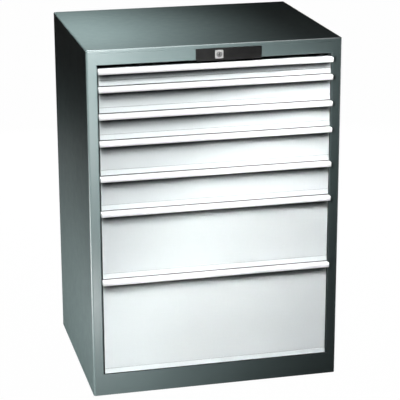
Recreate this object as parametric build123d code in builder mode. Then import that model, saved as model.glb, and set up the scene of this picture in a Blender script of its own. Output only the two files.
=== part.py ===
from build123d import *
import math
import os

# Drawer cabinet of folded sheet steel: seven full-extension drawers with full-width
# handle strips in a housing with one central lock.
# Millimetres. X to the right, Y to the back, Z up; origin in the middle of the base.

os.makedirs("parts", exist_ok=True)

# ---------------------------------------------------------------- driving dimensions
WIDTH = 717.0            # housing, outside
DEPTH = 572.0
HEIGHT = 1000.0
SHEET = 1.5              # housing sheet
X_OUT = WIDTH / 2        # 358.5
Y_FRONT = -DEPTH / 2     # -286, plane of the posts and of the drawer fronts
Y_BACK = DEPTH / 2

TOP_SEAM_Z = 990.0       # lower edge of the top panel's flange
TOP_BEND_R = 4.5
POST_W = 30.0            # face of each front post
X_POST = X_OUT - POST_W  # 328.5
POST_RETURN_Y = -264.0   # how far the post's return flange goes back
X_SEAM = 333.0           # rail and plinth butt against the posts here
BEND_R = 3.0
CORNER_R = 7.0           # softly rounded front corners of the housing

RAIL_Z0 = 958.0          # top rail, below the top panel
PLINTH_Z1 = 64.0         # plinth, above the floor
DECK_Z = 50.0

SIDE_BACK_Y = 284.0      # rear flanges of the side panels
BACK_PANEL_Y = 282.5
SCREW_Z = [60.0, 280.0, 500.0, 720.0, 930.0]
SCREW_X = 348.5

FLOOR_HOLE_X = 300.0
FLOOR_HOLE_Y = 230.0
FLOOR_HOLE_R = 6.0

# drawers, from the top: top and bottom height of each front
DRAWER_TOPS = [950.0, 900.0, 825.0, 750.0, 650.0, 550.0, 350.0]
DRAWER_BOTS = [900.0, 825.0, 750.0, 650.0, 550.0, 350.0, 65.0]
TRAVEL = 460.0           # full extension of a drawer; its carriages go half as far

FRONT_X = 325.5          # half width of a front
FRONT_GAP = 1.5          # above and below each front
FRONT_SHEET = 1.2
FRONT_BACK_Y = -269.0
FLARE = 2.5              # the lower strip of a front leans out by this
FLARE_H = 14.2           # height of that strip

TRAY_X = 307.0           # half width of a tray, outside
TRAY_Y1 = 192.0
TRAY_SHEET = 1.2
WELD_GAP = 0.1           # between the tray's welded sheets
TRAY_FLOOR = 8.0         # tray floor above the drawer's lower edge
TRAY_RIM = 10.0          # tray rim below the drawer's upper edge

GRIP = 18.0              # handle strip in front of the front plane
GRIP_DROP = 15.0         # lower edge of the grip below the drawer's upper edge
LIP_BEND = 6.0           # below here the lip curves inwards
LIP_LEAN = 3.0           # by this much
CAP_T = 2.45             # end cap thickness
CAP_X = 328.0

RUN_Z = 22.0             # runner centre line above the drawer's lower edge
RUN_H = 24.0             # runner channel, outside height
RUN_T = 1.5
ROLLER_R = 10.2
PIN_R = 3.95
ROLLER_BORE = 4.0
CARR_Y0, CARR_Y1 = -230.0, 160.0
INNER_ROLLERS_Y = [-218.0, -140.0]
OUTER_ROLLERS_Y = [70.0, 148.0]

LOCK_X, LOCK_Z = 7.0, 972.0
CRANK = 5.0 * math.sqrt(2.0)
LOCK_STROKE = 10.0
BAR_Y0, BAR_Y1 = -262.0, -259.0
ROD_Y0, ROD_Y1 = -267.5, -264.5
BAR_PIN_X = 334.0


# ---------------------------------------------------------------- housing
with BuildPart() as top_panel:
    # shallow folded pan, rounded along every upper edge
    with BuildSketch(Plane.XY.offset(TOP_SEAM_Z)) as pan_outline:
        Rectangle(WIDTH, DEPTH)
        fillet(pan_outline.vertices().group_by(Axis.Y)[0], radius=CORNER_R)
        fillet(pan_outline.vertices().group_by(Axis.Y)[-1], radius=BEND_R)
    extrude(amount=HEIGHT - TOP_SEAM_Z)
    fillet(top_panel.faces().sort_by(Axis.Z)[-1].edges(), radius=TOP_BEND_R)
    with BuildSketch(Plane.XY.offset(TOP_SEAM_Z)) as pan_inside:
        Rectangle(WIDTH - 2 * SHEET, DEPTH - 2 * SHEET)
        fillet(pan_inside.vertices().group_by(Axis.Y)[0], radius=CORNER_R - SHEET)
        fillet(pan_inside.vertices().group_by(Axis.Y)[-1], radius=BEND_R - SHEET)
    extrude(amount=HEIGHT - TOP_SEAM_Z - SHEET, mode=Mode.SUBTRACT)
    ceiling = top_panel.faces().filter_by(Axis.Z).sort_by(Axis.Z)[-2]
    fillet(ceiling.edges(), radius=TOP_BEND_R - SHEET)
top_panel.part.label = "top_panel"
export_step(top_panel.part, "parts/top_panel.step")

with BuildPart() as left_side_panel:
    # one folded sheet: rear flange, side wall, front post and its return
    with BuildSketch(Plane.XY):
        with BuildLine():
            FilletPolyline(
                (-342, SIDE_BACK_Y), (-X_OUT, SIDE_BACK_Y), (-X_OUT, Y_FRONT),
                (-X_POST, Y_FRONT), (-X_POST, POST_RETURN_Y),
                radius=[BEND_R, CORNER_R, BEND_R])
            offset(amount=SHEET, side=Side.LEFT)
        make_face()
    extrude(amount=TOP_SEAM_Z)
    # rail and plinth butt against the post's flat face
    with BuildSketch(Plane.XY.offset(RAIL_Z0)):
        with Locations((-(X_SEAM - 5), Y_FRONT + 12)):
            Rectangle(10, 28)
    extrude(amount=TOP_SEAM_Z - RAIL_Z0, mode=Mode.SUBTRACT)
    with BuildSketch(Plane.XY):
        with Locations((-(X_SEAM - 5), Y_FRONT + 12)):
            Rectangle(10, 28)
    extrude(amount=PLINTH_Z1, mode=Mode.SUBTRACT)
    with BuildSketch(Plane.XZ.offset(-(SIDE_BACK_Y + 1))):
        with Locations(*[(-SCREW_X, z) for z in SCREW_Z]):
            Circle(2.75)
    extrude(amount=4, mode=Mode.SUBTRACT)
left_side_panel.part.label = "left_side_panel"
export_step(left_side_panel.part, "parts/left_side_panel.step")

with BuildPart() as right_side_panel:
    with BuildSketch(Plane.XY):
        with BuildLine():
            FilletPolyline(
                (X_POST, POST_RETURN_Y), (X_POST, Y_FRONT), (X_OUT, Y_FRONT),
                (X_OUT, SIDE_BACK_Y), (342, SIDE_BACK_Y),
                radius=[BEND_R, CORNER_R, BEND_R])
            offset(amount=SHEET, side=Side.LEFT)
        make_face()
    extrude(amount=TOP_SEAM_Z)
    with BuildSketch(Plane.XY.offset(RAIL_Z0)):
        with Locations((X_SEAM - 5, Y_FRONT + 12)):
            Rectangle(10, 28)
    extrude(amount=TOP_SEAM_Z - RAIL_Z0, mode=Mode.SUBTRACT)
    with BuildSketch(Plane.XY):
        with Locations((X_SEAM - 5, Y_FRONT + 12)):
            Rectangle(10, 28)
    extrude(amount=PLINTH_Z1, mode=Mode.SUBTRACT)
    with BuildSketch(Plane.XZ.offset(-(SIDE_BACK_Y + 1))):
        with Locations(*[(SCREW_X, z) for z in SCREW_Z]):
            Circle(2.75)
    extrude(amount=4, mode=Mode.SUBTRACT)
right_side_panel.part.label = "right_side_panel"
export_step(right_side_panel.part, "parts/right_side_panel.step")

with BuildPart() as back_panel:
    # plate in front of the rear flanges, folded forward above and below
    with BuildSketch(Plane.YZ):
        with BuildLine():
            FilletPolyline(
                (268, 2), (BACK_PANEL_Y, 2), (BACK_PANEL_Y, TOP_SEAM_Z - 1),
                (268, TOP_SEAM_Z - 1), radius=2.5)
            offset(amount=SHEET, side=Side.LEFT)
        make_face()
    extrude(amount=353.5, both=True)
    with BuildSketch(Plane.XZ.offset(-(BACK_PANEL_Y + 1))):
        with Locations(*[(s * SCREW_X, z) for s in (-1, 1) for z in SCREW_Z]):
            Circle(2.75)
    extrude(amount=4, mode=Mode.SUBTRACT)
back_panel.part.label = "back_panel"
export_step(back_panel.part, "parts/back_panel.step")

with BuildPart() as back_panel_screws:
    # pan-head screws through the rear flanges
    with BuildSketch(Plane.XZ.offset(-BACK_PANEL_Y + 4)):
        with Locations(*[(s * SCREW_X, z) for s in (-1, 1) for z in SCREW_Z]):
            Circle(2.5)
    extrude(amount=-(SIDE_BACK_Y - BACK_PANEL_Y + 4))
    with BuildSketch(Plane.XZ.offset(-SIDE_BACK_Y)):
        with Locations(*[(s * SCREW_X, z) for s in (-1, 1) for z in SCREW_Z]):
            Circle(4.6)
    extrude(amount=-2.0)
    fillet(back_panel_screws.faces().filter_by(Axis.Y).sort_by(Axis.Y)[-10:].edges(), radius=1.2)
    with BuildSketch(Plane.XZ.offset(-(SIDE_BACK_Y + 2))):
        with Locations(*[(s * SCREW_X, z) for s in (-1, 1) for z in SCREW_Z]):
            Rectangle(4.0, 0.9)
            Rectangle(0.9, 4.0)
    extrude(amount=1.1, mode=Mode.SUBTRACT)
back_panel_screws.part.label = "back_panel_screws"
export_step(back_panel_screws.part, "parts/back_panel_screws.step")

with BuildPart() as base_plate:
    # floor plate with upturned sides and four holes for floor bolts
    with BuildSketch(Plane.XZ.offset(-281.0)):
        with BuildLine():
            FilletPolyline(
                (-357, 25), (-357, 0), (357, 0), (357, 25), radius=BEND_R)
            offset(amount=2.0, side=Side.LEFT)
        make_face()
    extrude(amount=281.0 - (Y_FRONT + CORNER_R + 0.5))
    with BuildSketch(Plane.XY):
        with GridLocations(2 * FLOOR_HOLE_X, 2 * FLOOR_HOLE_Y, 2, 2):
            Circle(FLOOR_HOLE_R)
    extrude(amount=3, mode=Mode.SUBTRACT)
base_plate.part.label = "base_plate"
export_step(base_plate.part, "parts/base_plate.step")

with BuildPart() as bottom_deck:
    # inner floor below the lowest drawer
    with BuildSketch(Plane.YZ):
        with BuildLine():
            FilletPolyline(
                (279, DECK_Z - 12), (279, DECK_Z + SHEET), (-258, DECK_Z + SHEET),
                (-258, DECK_Z - 12), radius=2.5)
            offset(amount=SHEET, side=Side.LEFT)
        make_face()
    extrude(amount=357, both=True)
bottom_deck.part.label = "bottom_deck"
export_step(bottom_deck.part, "parts/bottom_deck.step")

with BuildPart() as front_plinth:
    with BuildSketch(Plane.YZ):
        with BuildLine():
            FilletPolyline(
                (-261, PLINTH_Z1), (Y_FRONT, PLINTH_Z1), (Y_FRONT, 0), radius=2.0)
            offset(amount=SHEET, side=Side.LEFT)
        make_face()
    extrude(amount=X_SEAM, both=True)
front_plinth.part.label = "front_plinth"
export_step(front_plinth.part, "parts/front_plinth.step")

with BuildPart() as front_top_rail:
    with BuildSketch(Plane.YZ):
        with BuildLine():
            FilletPolyline(
                (-268, TOP_SEAM_Z), (Y_FRONT, TOP_SEAM_Z), (Y_FRONT, RAIL_Z0),
                (-268, RAIL_Z0), radius=[1.6, 2.0])
            offset(amount=SHEET, side=Side.LEFT)
        make_face()
    extrude(amount=X_SEAM, both=True)
    with BuildSketch(Plane.XZ.offset(-Y_FRONT + 1)):
        with Locations((LOCK_X, LOCK_Z)):
            Circle(9.0)
    extrude(amount=-5, mode=Mode.SUBTRACT)
front_top_rail.part.label = "front_top_rail"
export_step(front_top_rail.part, "parts/front_top_rail.step")

with BuildPart() as uprights:
    # four channels with hook slots every 25 mm
    for y0, y1 in ((-240.0, -205.0), (195.0, 230.0)):
        with BuildSketch(Plane.XY.offset(DECK_Z + SHEET)):
            with BuildLine():
                FilletPolyline(
                    (357, y1), (345, y1), (345, y0), (357, y0), radius=2.0)
                offset(amount=SHEET, side=Side.LEFT)
            make_face()
        extrude(amount=RAIL_Z0 - DECK_Z - SHEET)
        with BuildSketch(Plane.YZ.offset(343)):
            with Locations(((y0 + y1) / 2, (75 + 950) / 2)):
                with GridLocations(16, 25, 2, 36):
                    SlotOverall(12, 4, rotation=90)
        extrude(amount=5, mode=Mode.SUBTRACT)
    mirror(about=Plane.YZ)
uprights.part.label = "uprights"
export_step(uprights.part, "parts/uprights.step")

with BuildPart() as cabinet_runners:
    # outer runner channels, hooked into the uprights by small angle plates
    for zb in DRAWER_BOTS:
        z0, z1 = zb + RUN_Z - RUN_H / 2, zb + RUN_Z + RUN_H / 2
        with BuildSketch(Plane.XZ.offset(-245)):
            with BuildLine():
                FilletPolyline((322, z0), (334, z0), (334, z1), (322, z1), radius=2.0)
                offset(amount=RUN_T, side=Side.LEFT)
            make_face()
        extrude(amount=485)
        with Locations(*[(339.5, y, zb + RUN_Z) for y in (-236, -209, 199, 226)]):
            Box(11, 2, 16)
    mirror(about=Plane.YZ)
cabinet_runners.part.label = "cabinet_runners"
export_step(cabinet_runners.part, "parts/cabinet_runners.step")

# ---------------------------------------------------------------- central lock
with BuildPart() as lock_cover:
    # long shallow moulding on the rail, off centre
    with BuildSketch(Plane.XZ.offset(-Y_FRONT)):
        with Locations((34.5, 972)):
            RectangleRounded(185, 34, 2.5)
    extrude(amount=3.0)
    fillet(lock_cover.faces().sort_by(Axis.Y)[0].edges(), radius=1.2)
    with BuildSketch(Plane.XZ.offset(-Y_FRONT + 4)):
        with Locations((LOCK_X, LOCK_Z)):
            Circle(8.6)
    extrude(amount=-5, mode=Mode.SUBTRACT)
lock_cover.part.label = "lock_cover"
export_step(lock_cover.part, "parts/lock_cover.step")

with BuildPart() as lock_rosette:
    with BuildSketch(Plane.XZ.offset(-Y_FRONT + 3)):
        with Locations((LOCK_X, LOCK_Z)):
            RectangleRounded(23, 23, 2.5)
    extrude(amount=2.0)
    fillet(lock_rosette.faces().sort_by(Axis.Y)[0].edges(), radius=0.8)
    with BuildSketch(Plane.XZ.offset(-Y_FRONT + 6)):
        with Locations((LOCK_X, LOCK_Z)):
            Circle(8.05)
    extrude(amount=-5, mode=Mode.SUBTRACT)
lock_rosette.part.label = "lock_rosette"
export_step(lock_rosette.part, "parts/lock_rosette.step")

with BuildPart() as lock_cylinder:
    # barrel with a key slot, a crank at its inner end and the crank's pin
    with BuildSketch(Plane.XZ.offset(291.8)):
        with Locations((LOCK_X, LOCK_Z)):
            Circle(8.0)
    extrude(amount=-(291.8 - 272.0))
    chamfer(lock_cylinder.faces().sort_by(Axis.Y)[0].edges(), length=0.4)
    with BuildSketch(Plane.XZ.offset(272.0)):
        with Locations((LOCK_X, LOCK_Z)):
            Circle(6.5)
        with Locations((LOCK_X - 5, LOCK_Z + 5)):
            Circle(4.5)
    extrude(amount=-3.0)
    with BuildSketch(Plane.XZ.offset(269.0)):
        with Locations((LOCK_X - 5, LOCK_Z + 5)):
            Circle(2.0)
    extrude(amount=-6.0)
    with BuildSketch(Plane.XZ.offset(292.5)):
        with Locations((LOCK_X, LOCK_Z)):
            Rectangle(1.8, 9.5)
            Circle(2.2)
    extrude(amount=-8.0, mode=Mode.SUBTRACT)
lock_cylinder.part.label = "lock_cylinder"
export_step(lock_cylinder.part, "parts/lock_cylinder.step")

with BuildPart() as lock_rod:
    # flat rod from the crank to the lock bar, with a slotted end and a drive pin
    with BuildSketch(Plane.XZ.offset(-ROD_Y0)):
        with Locations((LOCK_X - 2, 976.5)):
            RectangleRounded(30, 21, 2)
        with Locations((175, 974)):
            Rectangle(330, 12)
        with Locations((LOCK_X - 5, 978.0)):
            SlotOverall(12, 5.1, rotation=90, mode=Mode.SUBTRACT)
    extrude(amount=-(ROD_Y1 - ROD_Y0))
    with BuildSketch(Plane.XZ.offset(-ROD_Y1)):
        with Locations((BAR_PIN_X, LOCK_Z)):
            Circle(2.0)
    extrude(amount=-7.0)
lock_rod.part.label = "lock_rod"
export_step(lock_rod.part, "parts/lock_rod.step")

with BuildPart() as lock_bar:
    # upright bar in the right-hand post; the slanted slot turns the rod's
    # sideways stroke into an upward stroke
    with BuildSketch(Plane.XZ.offset(-BAR_Y0)):
        with Locations((339, (60 + 965) / 2)):
            Rectangle(12, 965 - 60)
        with Locations((339, 968)):
            RectangleRounded(21, 34, 2)
        with Locations((BAR_PIN_X + LOCK_STROKE / 2, LOCK_Z - LOCK_STROKE / 2)):
            SlotCenterToCenter(LOCK_STROKE * math.sqrt(2.0), 5.0, rotation=-45, mode=Mode.SUBTRACT)
    extrude(amount=-(BAR_Y1 - BAR_Y0))
lock_bar.part.label = "lock_bar"
export_step(lock_bar.part, "parts/lock_bar.step")

with BuildPart() as lock_bar_tabs:
    # one tab for each drawer, welded to the bar; raised, it stands in the way of
    # the drawer's catch plate
    for zb in DRAWER_BOTS:
        with BuildSketch(Plane.XZ.offset(-BAR_Y0)):
            with Locations((327.75, zb + 6)):
                Rectangle(10.5, 6)
        extrude(amount=-(BAR_Y1 - BAR_Y0))
lock_bar_tabs.part.label = "lock_bar_tabs"
export_step(lock_bar_tabs.part, "parts/lock_bar_tabs.step")

with BuildPart() as lock_guides:
    # guide blocks: three round the bar, on the side wall, two round the rod, on the rail
    for z in (158.0, 488.0, 880.0):
        with Locations((343.5, -260.5, z)):
            Box(27, 10, 16)
        with Locations((339, -260.5, z)):
            Box(13, 4, 20, mode=Mode.SUBTRACT)
    for x in (106.0, 286.0):
        with Locations((x, -267, 971.25)):
            Box(12, 10, 23.5)
        with Locations((x, -266, 974)):
            Box(20, 4, 13, mode=Mode.SUBTRACT)
lock_guides.part.label = "lock_guides"
export_step(lock_guides.part, "parts/lock_guides.step")

# ---------------------------------------------------------------- drawers
for n, (zb, zt) in enumerate(zip(DRAWER_BOTS, DRAWER_TOPS), start=1):
    f0, f1 = zb + FRONT_GAP, zt - FRONT_GAP       # the front's lower and upper edge
    zc = zb + RUN_Z                               # runner centre line

    with BuildPart() as tray:
        # open tray of five welded sheets: floor, two side walls, and a front and a rear
        # wall that stand between the side walls
        with BuildSketch(Plane.XY.offset(zb + TRAY_FLOOR)):
            with Locations((0, (FRONT_BACK_Y + TRAY_Y1) / 2)):
                Rectangle(2 * TRAY_X, TRAY_Y1 - FRONT_BACK_Y)
        extrude(amount=TRAY_SHEET)
        with BuildSketch(Plane.XY.offset(zb + TRAY_FLOOR + TRAY_SHEET + WELD_GAP)):
            with Locations(*[(s * (TRAY_X - TRAY_SHEET / 2), (FRONT_BACK_Y + TRAY_Y1) / 2)
                             for s in (-1, 1)]):
                Rectangle(TRAY_SHEET, TRAY_Y1 - FRONT_BACK_Y)
            with Locations((0, FRONT_BACK_Y + TRAY_SHEET / 2), (0, TRAY_Y1 - TRAY_SHEET / 2)):
                Rectangle(2 * (TRAY_X - TRAY_SHEET - WELD_GAP), TRAY_SHEET)
        extrude(amount=zt - TRAY_RIM - zb - TRAY_FLOOR - TRAY_SHEET - WELD_GAP)
    tray.part.label = f"drawer_{n}_tray"
    export_step(tray.part, f"parts/drawer_{n}_tray.step")

    with BuildPart() as front:
        # folded shell, open at the back; a fine groove marks off the lower strip,
        # which leans out a little
        with BuildSketch(Plane.YZ):
            with BuildLine():
                FilletPolyline(
                    (FRONT_BACK_Y, f1), (Y_FRONT, f1), (Y_FRONT, f0 + FLARE_H),
                    (Y_FRONT - FLARE, f0), (FRONT_BACK_Y, f0), radius=[1.2, 4.0, 1.2])
                Line((FRONT_BACK_Y, f0), (FRONT_BACK_Y, f1))
            make_face()
        extrude(amount=FRONT_X, both=True)
        with BuildSketch(Plane.YZ):
            with BuildLine():
                Polyline(
                    (FRONT_BACK_Y - FRONT_SHEET, f1 - FRONT_SHEET),
                    (Y_FRONT + FRONT_SHEET, f1 - FRONT_SHEET),
                    (Y_FRONT + FRONT_SHEET, f0 + FLARE_H),
                    (Y_FRONT - FLARE + 1.4, f0 + FRONT_SHEET),
                    (FRONT_BACK_Y - FRONT_SHEET, f0 + FRONT_SHEET), close=True)
            make_face()
        extrude(amount=FRONT_X - FRONT_SHEET, both=True, mode=Mode.SUBTRACT)
        with BuildSketch(Plane.XZ.offset(-FRONT_BACK_Y + 3)):
            with Locations((0, (f0 + 18 + f1 - 16) / 2)):
                Rectangle(600, f1 - f0 - 34)
        extrude(amount=-4, mode=Mode.SUBTRACT)
        with Locations((0, Y_FRONT, f0 + FLARE_H + 0.6)):
            Box(2 * FRONT_X + 2, 1.2, 1.0, mode=Mode.SUBTRACT)
    front.part.label = f"drawer_{n}_front"
    export_step(front.part, f"parts/drawer_{n}_front.step")

    with BuildPart() as handle:
        # extruded strip: back web, label channel on top, grip lip in front
        u = Y_FRONT
        lip0, lip1 = (u - GRIP, zt - LIP_BEND), (u - GRIP + LIP_LEAN, zt - GRIP_DROP)
        with BuildSketch(Plane.YZ) as section:
            with BuildLine():
                Polyline(
                    (u, f1), (u - 2.0, f1), (u - 2.0, f1 - 1.2), (u - 15.4, f1 - 1.2),
                    (u - 15.4, f1), (u - GRIP, f1), lip0)
                TangentArc(lip0, lip1, tangent=(0, -1))
                Polyline(
                    lip1, (lip1[0] + 2.2, lip1[1]), (lip1[0] + 2.2, lip1[1] + 1.8),
                    (u - GRIP + 1.8, zt - 8.0), (u - GRIP + 1.6, f1 - 2.8),
                    (u - 1.5, f1 - 2.8), (u - 1.5, zt - 12.5), (u, zt - 12.5), (u, f1))
            make_face()
            corner = section.vertices().filter_by_position(Axis.X, u - GRIP - 0.1, u - GRIP + 0.1)
            fillet(corner.sort_by(Axis.Y)[-1:], radius=1.6)
            corner = section.vertices().filter_by_position(Axis.Y, lip1[1] - 0.1, lip1[1] + 0.1)
            fillet(corner, radius=0.8)
        extrude(amount=FRONT_X, both=True)
        # end caps over the whole side of the strip
        for side in (1, -1):
            with BuildSketch(Plane.YZ.offset(side * (CAP_X - CAP_T / 2))) as cap:
                with BuildLine():
                    Polyline((u, zt - 10.0), (u, f1), (u - GRIP, f1), lip0)
                    TangentArc(lip0, lip1, tangent=(0, -1))
                    Polyline(lip1, (lip1[0] + 3.0, lip1[1]), (u, zt - 10.0))
                make_face()
                corner = cap.vertices().filter_by_position(Axis.X, u - GRIP - 0.1, u - GRIP + 0.1)
                fillet(corner.sort_by(Axis.Y)[-1:], radius=1.6)
                corner = cap.vertices().filter_by_position(Axis.Y, lip1[1] - 0.1, lip1[1] + 0.1)
                fillet(corner, radius=0.8)
            extrude(amount=CAP_T / 2, both=True)
    handle.part.label = f"drawer_{n}_handle"
    export_step(handle.part, f"parts/drawer_{n}_handle.step")

    with BuildPart() as label_strip:
        # label under its clear cover, slid into the handle's channel
        with BuildSketch(Plane.XY.offset(f1 - 1.2)):
            with Locations((0, u - 8.7)):
                Rectangle(2 * FRONT_X - 3, 13.2)
        extrude(amount=0.8)
    label_strip.part.label = f"drawer_{n}_label_strip"
    export_step(label_strip.part, f"parts/drawer_{n}_label_strip.step")

    with BuildPart() as runners:
        # inner runner channels on the tray's sides, and the catch plate for the lock
        with BuildSketch(Plane.XZ.offset(-TRAY_Y1)):
            with BuildLine():
                FilletPolyline(
                    (317.5, zc + RUN_H / 2), (TRAY_X, zc + RUN_H / 2),
                    (TRAY_X, zc - RUN_H / 2), (317.5, zc - RUN_H / 2), radius=2.0)
                offset(amount=RUN_T, side=Side.LEFT)
            make_face()
        extrude(amount=TRAY_Y1 + 250)
        mirror(about=Plane.YZ)
        with Locations(((TRAY_X + 326) / 2, -255.5, zb + 19)):
            Box(326 - TRAY_X, 3, 14)
    runners.part.label = f"drawer_{n}_runners"
    export_step(runners.part, f"parts/drawer_{n}_runners.step")

    with BuildPart() as carriages:
        # intermediate carriages: flat bars with two inner and two outer rollers each
        with Locations((320, (CARR_Y0 + CARR_Y1) / 2, zc)):
            Box(3, CARR_Y1 - CARR_Y0, 16)
        with BuildSketch(Plane.YZ.offset(309.0)):
            with Locations(*[(y, zc) for y in INNER_ROLLERS_Y]):
                Circle(PIN_R)
        extrude(amount=11)
        with BuildSketch(Plane.YZ.offset(320)):
            with Locations(*[(y, zc) for y in OUTER_ROLLERS_Y]):
                Circle(PIN_R)
        extrude(amount=11)
        with BuildSketch(Plane.YZ.offset(309.6)):
            with Locations(*[(y, zc) for y in INNER_ROLLERS_Y]):
                Circle(ROLLER_R)
                Circle(ROLLER_BORE, mode=Mode.SUBTRACT)
        extrude(amount=8)
        with BuildSketch(Plane.YZ.offset(322.4)):
            with Locations(*[(y, zc) for y in OUTER_ROLLERS_Y]):
                Circle(ROLLER_R)
                Circle(ROLLER_BORE, mode=Mode.SUBTRACT)
        extrude(amount=8)
        mirror(about=Plane.YZ)
    carriages.part.label = f"drawer_{n}_carriages"
    export_step(carriages.part, f"parts/drawer_{n}_carriages.step")
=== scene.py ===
import math

import bmesh
import bpy
from mathutils import Matrix, Vector


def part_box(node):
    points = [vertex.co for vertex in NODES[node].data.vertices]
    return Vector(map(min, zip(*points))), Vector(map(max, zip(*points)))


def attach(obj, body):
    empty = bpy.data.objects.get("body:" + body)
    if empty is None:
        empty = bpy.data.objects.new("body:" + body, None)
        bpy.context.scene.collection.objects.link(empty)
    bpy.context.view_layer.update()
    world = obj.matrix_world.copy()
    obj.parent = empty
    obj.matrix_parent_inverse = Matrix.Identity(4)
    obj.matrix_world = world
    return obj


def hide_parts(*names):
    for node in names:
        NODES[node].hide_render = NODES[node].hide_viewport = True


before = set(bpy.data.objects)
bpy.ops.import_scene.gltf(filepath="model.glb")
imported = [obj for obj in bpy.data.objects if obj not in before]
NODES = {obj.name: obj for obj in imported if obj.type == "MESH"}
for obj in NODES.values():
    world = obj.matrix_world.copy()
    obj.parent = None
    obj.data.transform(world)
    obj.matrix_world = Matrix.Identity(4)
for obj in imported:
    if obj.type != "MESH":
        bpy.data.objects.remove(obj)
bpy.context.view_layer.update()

scene = bpy.context.scene
coll = scene.collection
DRAWERS = range(1, 8)


# ------------------------------------------------------------------ node helpers
class Mat:
    """A material with short-hand for its nodes."""

    def __init__(self, name):
        self.m = bpy.data.materials.new(name)
        self.m.use_nodes = True
        self.t = self.m.node_tree
        self.n = self.t.nodes
        self.n.clear()
        self.out = self.n.new("ShaderNodeOutputMaterial")
        self.b = self.n.new("ShaderNodeBsdfPrincipled")
        self.t.links.new(self.b.outputs[0], self.out.inputs[0])
        self.tc = self.n.new("ShaderNodeTexCoord")

    def set(self, **kw):
        for k, v in kw.items():
            s = self.b.inputs[k.replace("_", " ")]
            s.default_value = (*v, 1.0) if isinstance(v, tuple) and len(v) == 3 else v
        return self

    def link(self, a, b):
        self.t.links.new(a, b)

    def coord(self, scale=(1, 1, 1)):
        mp = self.n.new("ShaderNodeMapping")
        mp.inputs["Scale"].default_value = scale
        self.link(self.tc.outputs["Object"], mp.inputs["Vector"])
        return mp.outputs[0]

    def noise(self, scale, detail=2.0, rough=0.5, vec=None, distortion=0.0):
        x = self.n.new("ShaderNodeTexNoise")
        x.inputs["Scale"].default_value = scale
        x.inputs["Detail"].default_value = detail
        x.inputs["Roughness"].default_value = rough
        x.inputs["Distortion"].default_value = distortion
        self.link(vec if vec is not None else self.tc.outputs["Object"], x.inputs["Vector"])
        return x.outputs["Fac"]

    def voronoi(self, scale, vec=None, feature="F1", out="Distance"):
        x = self.n.new("ShaderNodeTexVoronoi")
        x.feature = feature
        x.inputs["Scale"].default_value = scale
        self.link(vec if vec is not None else self.tc.outputs["Object"], x.inputs["Vector"])
        return x.outputs[out]

    def ramp(self, fac, stops):
        r = self.n.new("ShaderNodeValToRGB")
        e = r.color_ramp.elements
        while len(e) < len(stops):
            e.new(0.5)
        for el, (p, c) in zip(e, stops):
            el.position = p
            el.color = (*c, 1.0) if len(c) == 3 else c
        self.link(fac, r.inputs[0])
        return r.outputs[0]

    def range(self, v, a, b, c, d):
        r = self.n.new("ShaderNodeMapRange")
        for k, x in zip(("From Min", "From Max", "To Min", "To Max"), (a, b, c, d)):
            r.inputs[k].default_value = x
        self.link(v, r.inputs["Value"])
        return r.outputs[0]

    def mix(self, fac, a, b, blend="MIX"):
        x = self.n.new("ShaderNodeMix")
        x.data_type = "RGBA"
        x.blend_type = blend
        for s, v in ((x.inputs[0], fac), (x.inputs[6], a), (x.inputs[7], b)):
            if hasattr(v, "is_linked"):
                self.link(v, s)
            elif isinstance(v, (int, float)):
                s.default_value = v
            else:
                s.default_value = (*v, 1.0)
        return x.outputs[2]

    def math(self, op, a, b=None, clamp=False):
        x = self.n.new("ShaderNodeMath")
        x.operation = op
        x.use_clamp = clamp
        for s, v in zip(x.inputs, (a, b)):
            if v is None:
                continue
            if hasattr(v, "is_linked"):
                self.link(v, s)
            else:
                s.default_value = v
        return x.outputs[0]

    def xyz(self, axis):
        s = self.n.new("ShaderNodeSeparateXYZ")
        self.link(self.tc.outputs["Object"], s.inputs[0])
        return s.outputs[axis]

    def bump(self, *layers):
        """layers: (height socket, strength, distance in metres)"""
        last = None
        for h, strength, dist in layers:
            bp = self.n.new("ShaderNodeBump")
            bp.inputs["Strength"].default_value = strength
            bp.inputs["Distance"].default_value = dist
            self.link(h, bp.inputs["Height"])
            if last is not None:
                self.link(last, bp.inputs["Normal"])
            last = bp.outputs[0]
        self.link(last, self.b.inputs["Normal"])
        return self

    def color(self, sock):
        self.link(sock, self.b.inputs["Base Color"])
        return self

    def rough(self, sock):
        self.link(sock, self.b.inputs["Roughness"])
        return self


def mixed(c, k):
    return tuple(min(1.0, x * k) for x in c)


# ------------------------------------------------------------------ materials
def powder_coat(name, base, metallic, rough, peel=1.0, spread=0.06, painted_shade_reach=None):
    m = Mat(name)
    m.set(Metallic=metallic, IOR=1.5)
    wide = m.noise(3.2, 3.0, 0.55)
    speck = m.noise(1400.0, 2.0, 0.6)
    col = m.ramp(wide, [(0.25, mixed(base, 1 - spread)), (0.75, mixed(base, 1 + spread))])
    flecks = m.ramp(speck, [(0.35, (0.94, 0.94, 0.94)), (0.65, (1.0, 1.0, 1.0))])
    col = m.mix(1.0, col, flecks, "MULTIPLY")
    if painted_shade_reach:
        # painted shade: the coat's colour is darkened where something overhangs it within this distance, standing in
        # for the shadow beneath it
        up = m.n.new("ShaderNodeCombineXYZ")
        for k, v in enumerate((0.0, -0.7071, 0.7071)):
            up.inputs[k].default_value = v
        ao = m.n.new("ShaderNodeAmbientOcclusion")
        ao.samples = 16
        ao.inputs["Distance"].default_value = painted_shade_reach
        m.link(up.outputs[0], ao.inputs["Normal"])
        shade = m.ramp(ao.outputs["AO"], [(0.33, (0.010, 0.011, 0.012)), (0.42, (0.15, 0.155, 0.16)),
                                          (0.51, (0.58, 0.585, 0.59)), (0.61, (1.0, 1.0, 1.0))])
        col = m.mix(1.0, col, shade, "MULTIPLY")
    m.color(col)
    m.rough(m.range(m.noise(38.0, 4.0, 0.6), 0.3, 0.7, rough - 0.035, rough + 0.035))
    m.bump((m.noise(420.0, 2.0, 0.5), 0.22 * peel, 0.00016),
           (m.noise(70.0, 1.5, 0.4), 0.05 * peel, 0.0006))
    return m.m


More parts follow.
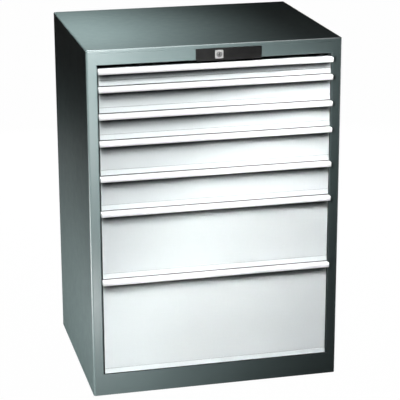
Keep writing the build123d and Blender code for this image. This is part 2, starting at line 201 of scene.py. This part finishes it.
housing = powder_coat("housing_powder_coat", (0.115, 0.155, 0.154), 0.0, 0.36, 0.25)
# painted shade: the housing coat again, darkened along the plinth's top where the lowest drawer overhangs it
plinth_coat_painted_shade = powder_coat("plinth_powder_coat_painted_shade", (0.115, 0.155, 0.154), 0.0, 0.36, 0.25, painted_shade_reach=0.009)
inner_coat = powder_coat("inner_powder_coat", (0.115, 0.155, 0.154), 0.0, 0.42)
# painted shade: the drawer fronts' colour is darkened in a band below each handle's lip
drawer_white = powder_coat("drawer_powder_coat_painted_shade", (0.76, 0.815, 0.82), 0.0, 0.34, 0.8, 0.012, 0.035)
tray_coat = powder_coat("tray_powder_coat", (0.60, 0.64, 0.645), 0.0, 0.40, 0.8, 0.03)


def aluminium(name="anodised_handle"):
    m = Mat(name)
    m.set(Metallic=0.08, IOR=1.5, Anisotropic=0.3)
    streak = m.noise(1.0, 4.0, 0.65, m.coord((3.0, 900.0, 900.0)))
    m.color(m.ramp(streak, [(0.3, (0.93, 0.94, 0.95)), (0.7, (0.985, 0.985, 0.99))]))
    m.rough(m.range(streak, 0.3, 0.7, 0.28, 0.38))
    m.bump((streak, 0.2, 0.00005))
    return m.m


def zinc():
    m = Mat("zinc_plated_steel")
    m.set(Metallic=0.55, IOR=1.5)
    cells = m.voronoi(120.0, out="Color")
    bw = m.n.new("ShaderNodeRGBToBW")
    m.link(cells, bw.inputs[0])
    fine = m.noise(260.0, 3.0, 0.6)
    m.color(m.mix(m.range(fine, 0.3, 0.7, 0.0, 1.0),
                  m.ramp(bw.outputs[0], [(0.0, (0.48, 0.49, 0.49)), (1.0, (0.62, 0.63, 0.62))]),
                  (0.66, 0.67, 0.66)))
    m.rough(m.range(bw.outputs[0], 0.0, 1.0, 0.32, 0.46))
    m.bump((fine, 0.15, 0.00008))
    return m.m


def satin_nickel(name, k):
    m = Mat(name)
    m.set(Metallic=0.25, IOR=1.5)
    s = m.noise(1.0, 3.0, 0.6, m.coord((2600.0, 2600.0, 40.0)))
    m.color(m.ramp(s, [(0.3, mixed((0.80, 0.80, 0.79), k)), (0.7, mixed((0.92, 0.92, 0.91), k))]))
    m.rough(m.range(s, 0.3, 0.7, 0.28, 0.40))
    m.bump((s, 0.2, 0.00005))
    return m.m


def black_plastic():
    m = Mat("black_moulded_plastic")
    m.set(IOR=1.45, Specular_IOR_Level=0.08)
    grain = m.voronoi(2600.0)
    m.color(m.ramp(m.noise(30.0, 3.0, 0.6), [(0.3, (0.010, 0.010, 0.010)), (0.7, (0.016, 0.016, 0.016))]))
    m.rough(m.range(m.noise(90.0, 3.0, 0.6), 0.3, 0.7, 0.46, 0.58))
    m.bump((grain, 0.35, 0.00005))
    return m.m


def label():
    m = Mat("label_under_clear_cover")
    m.set(IOR=1.5, Coat_Weight=0.9, Coat_Roughness=0.08, Roughness=0.45)
    fibre = m.noise(900.0, 4.0, 0.7)
    m.color(m.ramp(fibre, [(0.3, (0.88, 0.89, 0.89)), (0.7, (0.94, 0.945, 0.945))]))
    m.bump((m.noise(14.0, 2.0, 0.5), 0.15, 0.0006))
    return m.m


alu, zinc_m, black, label_m = aluminium(), zinc(), black_plastic(), label()
rosette_m, cylinder_m = satin_nickel("satin_nickel", 0.92), satin_nickel("cylinder_nickel", 0.45)


def paint(node, material):
    o = NODES[node]
    if not o.material_slots:
        o.data.materials.append(None)
    for s in o.material_slots:
        s.link = "OBJECT"
        s.material = material


for n in ("top_panel", "left_side_panel", "right_side_panel", "back_panel", "front_top_rail"):
    paint(n, housing)
paint("front_plinth", plinth_coat_painted_shade)
for n in ("base_plate", "bottom_deck"):
    paint(n, inner_coat)
for n in ("uprights", "cabinet_runners", "back_panel_screws", "lock_rod", "lock_bar", "lock_bar_tabs"):
    paint(n, zinc_m)
for n in ("lock_cover", "lock_guides"):
    paint(n, black)
paint("lock_rosette", rosette_m)
paint("lock_cylinder", cylinder_m)
for i in DRAWERS:
    paint(f"drawer_{i}_tray", tray_coat)
    paint(f"drawer_{i}_front", drawer_white)
    paint(f"drawer_{i}_handle", alu)
    paint(f"drawer_{i}_label_strip", label_m)
    paint(f"drawer_{i}_runners", zinc_m)
    paint(f"drawer_{i}_carriages", zinc_m)


# ------------------------------------------------------------------ slotted trays
def punched_sheet(bm, origin, u, v, w, us, vs):
    """A sheet in the plane of u and v, as thick as w, with a hole in every odd cell of the lines us, vs."""
    origin, u, v, w = Vector(origin), Vector(u), Vector(v), Vector(w)
    made = {}

    def vert(i, j, side):
        key = (i, j, side)
        if key not in made:
            made[key] = bm.verts.new(origin + u * us[i] + v * vs[j] + w * side)
        return made[key]

    def solid(i, j):
        return 0 <= i < len(us) - 1 and 0 <= j < len(vs) - 1 and not (i % 2 and j % 2)

    faces = []
    for i in range(len(us) - 1):
        for j in range(len(vs) - 1):
            if not solid(i, j):
                continue
            ring = [(i, j), (i + 1, j), (i + 1, j + 1), (i, j + 1)]
            faces.append(bm.faces.new([vert(a, b, 1) for a, b in ring]))
            faces.append(bm.faces.new([vert(a, b, 0) for a, b in reversed(ring)]))
            for k, (di, dj) in enumerate(((0, -1), (1, 0), (0, 1), (-1, 0))):
                if not solid(i + di, j + dj):
                    (a, b), (c, d) = ring[k], ring[(k + 1) % 4]
                    faces.append(bm.faces.new([vert(a, b, 0), vert(c, d, 0), vert(c, d, 1), vert(a, b, 1)]))
    return faces


def slots(length, pitch, width, margin):
    """Lines along a sheet: 0, slot edges two by two, length."""
    k = int((length - 2 * margin) / pitch + 1e-6) + 1
    first = (length - (k - 1) * pitch) / 2
    out = [0.0]
    for i in range(k):
        out += [first + i * pitch - width / 2, first + i * pitch + width / 2]
    return out + [length]


def rows(height, low, high, most, between):
    n = max(1, math.ceil((height - low - high) / most))
    each = (height - low - high - (n - 1) * between) / n
    out = [0.0]
    for i in range(n):
        z = low + i * (each + between)
        out += [z, z + each]
    return out + [height]


def hem(bm, start, along, inward, thick, tall):
    """The folded upper edge of a wall: a rounded bar that hangs below start."""
    start, along, inward = Vector(start), Vector(along), Vector(inward)
    r = 0.0009
    ring = []
    for cx, cz, a0 in ((thick - r, -r, 0), (r, -r, 90), (r, -tall + r, 180), (thick - r, -tall + r, 270)):
        for k in range(4):
            a = math.radians(a0 + k * 30)
            ring.append((cx + r * math.cos(a), cz + r * math.sin(a)))
    ends = []
    for t in (0.0, 1.0):
        ends.append([bm.verts.new(start + along * t + inward * x + Vector((0, 0, z))) for x, z in ring])
    n = len(ring)
    for k in range(n):
        bm.faces.new([ends[0][k], ends[0][(k + 1) % n], ends[1][(k + 1) % n], ends[1][k]])
    bm.faces.new(ends[0])
    bm.faces.new(list(reversed(ends[1])))


def slotted_tray(i):
    """Welded tray with slots for dividers in its walls and floor, and a folded hem all round."""
    node = f"drawer_{i}_tray"
    lo, hi = (Vector(p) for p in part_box(node))
    t = 0.0012
    bm = bmesh.new()
    lx, ly, h = hi.x - lo.x, hi.y - lo.y, hi.z - lo.z
    punched_sheet(bm, lo, (1, 0, 0), (0, 1, 0), (0, 0, t), slots(lx, 0.034, 0.011, 0.02), slots(ly, 0.034, 0.0022, 0.02))
    up = rows(h - t, 0.007, 0.011, 0.09, 0.014)
    side = slots(ly, 0.017, 0.003, 0.012)
    cross = slots(lx - 2 * t, 0.017, 0.003, 0.012)
    z = lo.z + t
    punched_sheet(bm, (lo.x, lo.y, z), (0, 1, 0), (0, 0, 1), (t, 0, 0), side, up)
    punched_sheet(bm, (hi.x - t, lo.y, z), (0, 1, 0), (0, 0, 1), (t, 0, 0), side, up)
    punched_sheet(bm, (lo.x + t, lo.y, z), (1, 0, 0), (0, 0, 1), (0, t, 0), cross, up)
    punched_sheet(bm, (lo.x + t, hi.y - t, z), (1, 0, 0), (0, 0, 1), (0, t, 0), cross, up)
    thick, tall = 0.0030, 0.0065
    hem(bm, (lo.x, lo.y, hi.z), (0, ly, 0), (1, 0, 0), thick, tall)
    hem(bm, (hi.x, lo.y, hi.z), (0, ly, 0), (-1, 0, 0), thick, tall)
    hem(bm, (lo.x + thick, lo.y, hi.z), (lx - 2 * thick, 0, 0), (0, 1, 0), thick, tall)
    hem(bm, (lo.x + thick, hi.y, hi.z), (lx - 2 * thick, 0, 0), (0, -1, 0), thick, tall)
    bmesh.ops.recalc_face_normals(bm, faces=bm.faces)
    me = bpy.data.meshes.new(f"slotted_tray_{i}")
    bm.to_mesh(me)
    bm.free()
    me.materials.append(tray_coat)
    o = bpy.data.objects.new(f"slotted_tray_{i}", me)
    coll.objects.link(o)
    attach(o, f"drawer_{i}")
    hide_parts(node)
    return o


TRAYS_MADE = [slotted_tray(i) for i in DRAWERS]


# ------------------------------------------------------------------ floor, light, camera
def floor():
    me = bpy.data.meshes.new("floor")
    bm = bmesh.new()
    bmesh.ops.create_circle(bm, cap_ends=True, radius=40.0, segments=96)
    bm.to_mesh(me)
    bm.free()
    o = bpy.data.objects.new("floor", me)
    coll.objects.link(o)
    m = Mat("pale_floor")
    m.set(IOR=1.3, Roughness=0.8)
    m.color(m.ramp(m.noise(0.8, 3.0, 0.5), [(0.3, (0.30, 0.30, 0.30)), (0.7, (0.32, 0.32, 0.32))]))
    glow = m.n.new("ShaderNodeEmission")
    glow.inputs[0].default_value = (1.0, 1.0, 1.0, 1.0)
    glow.inputs[1].default_value = 1.065
    path = m.n.new("ShaderNodeLightPath")
    mixer = m.n.new("ShaderNodeMixShader")
    m.link(m.math("MULTIPLY", path.outputs["Is Camera Ray"], 0.93), mixer.inputs[0])
    m.link(m.b.outputs[0], mixer.inputs[1])
    m.link(glow.outputs[0], mixer.inputs[2])
    m.link(mixer.outputs[0], m.out.inputs[0])
    me.materials.append(m.m)
    return o


floor()

world = bpy.data.worlds.new("studio")
scene.world = world
world.use_nodes = True
wt = world.node_tree
bg = wt.nodes["Background"]
bg.inputs[0].default_value = (0.93, 0.97, 1.0, 1.0)
bg.inputs[1].default_value = 0.004
seen = wt.nodes.new("ShaderNodeBackground")
seen.inputs[0].default_value = (1.0, 1.0, 1.0, 1.0)
seen.inputs[1].default_value = 1.0
wpath = wt.nodes.new("ShaderNodeLightPath")
wmix = wt.nodes.new("ShaderNodeMixShader")
wt.links.new(wpath.outputs["Is Camera Ray"], wmix.inputs[0])
wt.links.new(bg.outputs[0], wmix.inputs[1])
wt.links.new(seen.outputs[0], wmix.inputs[2])
wt.links.new(wmix.outputs[0], wt.nodes["World Output"].inputs[0])

FRONTS = bpy.data.collections.new("lit_drawers")
HANDLES = bpy.data.collections.new("lit_handles")
INSIDES = bpy.data.collections.new("lit_trays")
SHELL = bpy.data.collections.new("lit_housing")
for name, o in NODES.items():
    if name.endswith(("_front", "_handle", "_label_strip")) or name in ("lock_rosette", "lock_cylinder"):
        FRONTS.objects.link(o)
        if name.endswith("_handle"):
            HANDLES.objects.link(o)
    elif name.startswith("drawer_"):
        INSIDES.objects.link(o)
    else:
        SHELL.objects.link(o)
for o in TRAYS_MADE:
    INSIDES.objects.link(o)


def area(name, loc, target, size, power, only=None, spread=180.0, color=(1, 1, 1),
         gloss_only=False, matt_only=False, turn=0.0):
    d = bpy.data.lights.new(name, "AREA")
    d.shape = "RECTANGLE"
    d.size, d.size_y = size
    d.energy = power
    d.spread = math.radians(spread)
    d.color = color
    o = bpy.data.objects.new(name, d)
    o.location = loc
    aim = (Vector(target) - Vector(loc)).to_track_quat("-Z", "Y").to_matrix()
    o.rotation_euler = (aim @ Matrix.Rotation(math.radians(turn), 3, "Z")).to_euler()
    coll.objects.link(o)
    o.visible_camera = False
    o.visible_diffuse = not gloss_only
    o.visible_glossy = not matt_only
    if only is not None:
        o.light_linking.receiver_collection = only
    return o


# name, place, aim, size, power, what it lights, spread
LIGHTS = [
    ("fronts_high", (-1.4, -2.2, 4.2), (0.0, -0.3, 0.5), (1.2, 0.8), 205.0, FRONTS, 180),
    ("fronts_right", (1.8, -2.8, 3.1), (0.0, -0.3, 0.5), (1.2, 0.8), 22.0, FRONTS, 180),
    ("trays_high", (-0.7, -2.45, 4.1), (0.0, -0.3, 0.45), (1.8, 1.2), 150.0, INSIDES, 180),
    ("fronts_low", (-1.4, -1.8, 0.25), (0.0, -0.3, 0.5), (0.4, 0.4), 3.2, FRONTS, 180),
    ("handles_front", (0.4, -3.4, 2.4), (0.0, -0.3, 0.5), (1.4, 0.8), 95.0, HANDLES, 180),
    ("upper_left", (-0.335, -1.19, 1.15), (-0.335, -0.286, 1.15), (0.04, 0.3), 8.8, SHELL, 110),
    ("middle_left", (-0.335, -0.89, 0.62), (-0.335, -0.286, 0.62), (0.04, 0.3), 0.9, SHELL, 110),
    ("lower_left", (-0.335, -0.89, 0.09), (-0.335, -0.286, 0.09), (0.04, 0.16), 1.3, SHELL, 110),
    ("over_left", (-0.335, -0.02, 1.60), (-0.335, -0.02, 1.0), (0.04, 0.62), 3.5, SHELL, 92),
    ("low_left", (-1.31, -0.15, 0.12), (-0.36, -0.15, 0.12), (1.4, 0.2), 5.6, SHELL, 80),
    ("right_side", (2.6, 0.5, 0.62), (0.36, 0.0, 0.5), (1.6, 0.7), 28.0, None, 180),
    ("back_side", (0.4, 2.6, 0.62), (0.0, 0.29, 0.5), (1.6, 0.7), 24.0, None, 180),
]
for name, loc, target, size, power, only, spread in LIGHTS:
    area(name, loc, target, size, power, only, spread)

# slanting brighter bands across the drawers
area("fronts_slant", (0.2, -1.9, 2.6), (0.2, -0.3, 0.65), (0.15, 1.6), 2.3, FRONTS, 20.0, matt_only=True, turn=-35.0)
area("fronts_lower", (-0.45, -1.9, 2.3), (-0.38, -0.3, 0.30), (0.10, 0.9), 0.26, FRONTS, 16.0, matt_only=True, turn=-35.0)
area("fronts_band", (0.0, -1.9, 0.55), (0.0, -0.3, 0.55), (0.06, 1.5), 0.20, FRONTS, 14.0, matt_only=True, turn=-35.0)

# long soft boxes that only show as the shine along the folded edges
area("edge_top", (0.1, -0.9, 3.2), (0.0, -0.3, 0.99), (1.8, 0.6), 120.0, SHELL, 180.0, gloss_only=True)
area("edge_left", (-2.12, -0.22, 0.012), (-2.12, -0.22, 1.0), (2.8, 0.9), 52.0, SHELL, 180.0, gloss_only=True)

# camera: position, yaw, pitch and roll of the photograph's viewpoint
cam_d = bpy.data.cameras.new("camera")
cam = bpy.data.objects.new("camera", cam_d)
coll.objects.link(cam)
yaw, pitch, roll = math.radians(13.5), math.radians(17.4), math.radians(-0.19)
fw = Vector((math.sin(yaw) * math.cos(pitch), math.cos(yaw) * math.cos(pitch), -math.sin(pitch)))
r = Vector((math.cos(yaw), -math.sin(yaw), 0.0))
u = r.cross(fw)
r2 = r * math.cos(roll) + u * math.sin(roll)
u2 = -r * math.sin(roll) + u * math.cos(roll)
rot = Matrix((r2, u2, -fw)).transposed().to_4x4()
cam.matrix_world = Matrix.Translation((-1.038, -4.413, 1.891)) @ rot
cam_d.sensor_width = 36.0
cam_d.lens = 143.9
cam_d.clip_end = 200.0
scene.camera = cam

scene.view_settings.view_transform = "Standard"
scene.view_settings.look = "None"
